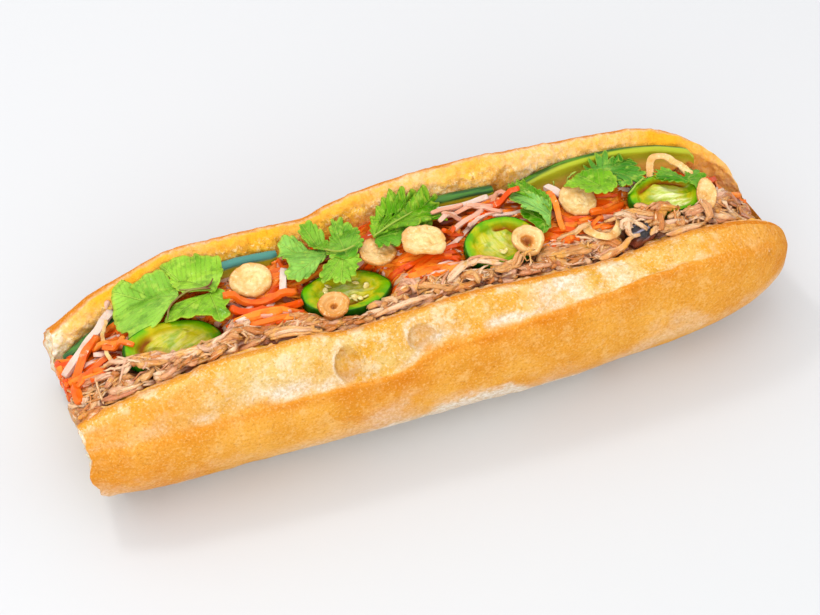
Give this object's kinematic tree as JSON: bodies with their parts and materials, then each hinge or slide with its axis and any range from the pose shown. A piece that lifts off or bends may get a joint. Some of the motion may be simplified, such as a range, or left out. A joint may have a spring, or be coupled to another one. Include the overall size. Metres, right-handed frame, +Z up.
{
  "type": "banh mi sandwich",
  "caption": "Crusty roll split along its top and opened, heaped with pulled meat, pickled carrot and daikon, cucumber, chilli slices, cilantro and fried garlic.",
  "frame": {"origin": "centre of the sandwich's footprint, on the surface it rests on", "axes": "+X along the loaf from the cut open end to the rounded tip, -Y is the front wall with the long score, +Z up"},
  "size_m": [0.2484, 0.079, 0.0585],
  "materials": {
    "crust": "baked golden crust, floury pale underside, toasted crumb inside",
    "meat": "moist pulled meat, tan to pinkish brown",
    "pickle": "wet shiny orange carrot strips with pale daikon",
    "daikon": "wet translucent white",
    "cucumber": "wet yellow-green flesh with dark green skin",
    "chilli": "glossy green skin, paler wet flesh",
    "leaf": "soft satin leaf",
    "fried": "dry crisp golden",
    "char": "glossy charred black-brown"
  },
  "bodies": {
    "root": {"bread": "crust", "jalapeno_1": "chilli", "jalapeno_2": "chilli", "jalapeno_3": "chilli", "jalapeno_4": "chilli", "fried_slice_1": "fried", "fried_slice_2": "fried", "fried_slice_3": "fried", "fried_slice_4": "fried", "fried_slice_5": "fried", "fried_slice_6": "fried", "fried_slice_7": "fried", "charred_meat": "char", "cucumber_1": "cucumber", "cucumber_2": "cucumber", "cucumber_3": "cucumber", "cucumber_4": "cucumber", "cilantro_1": "leaf", "cilantro_2": "leaf", "cilantro_3": "leaf", "cilantro_4": "leaf", "cilantro_5": "leaf", "cilantro_6": "leaf", "cilantro_7": "leaf", "cilantro_8": "leaf", "cilantro_9": "leaf", "cilantro_10": "leaf", "cilantro_11": "leaf", "cilantro_12": "leaf", "fried_shallot_1": "fried", "fried_shallot_2": "fried", "fried_shallot_3": "fried", "daikon_1": "daikon", "daikon_2": "daikon", "daikon_3": "daikon", "daikon_4": "daikon", "pulled_meat": "meat", "pickled_carrot": "pickle"}
  },
  "joints": []
}
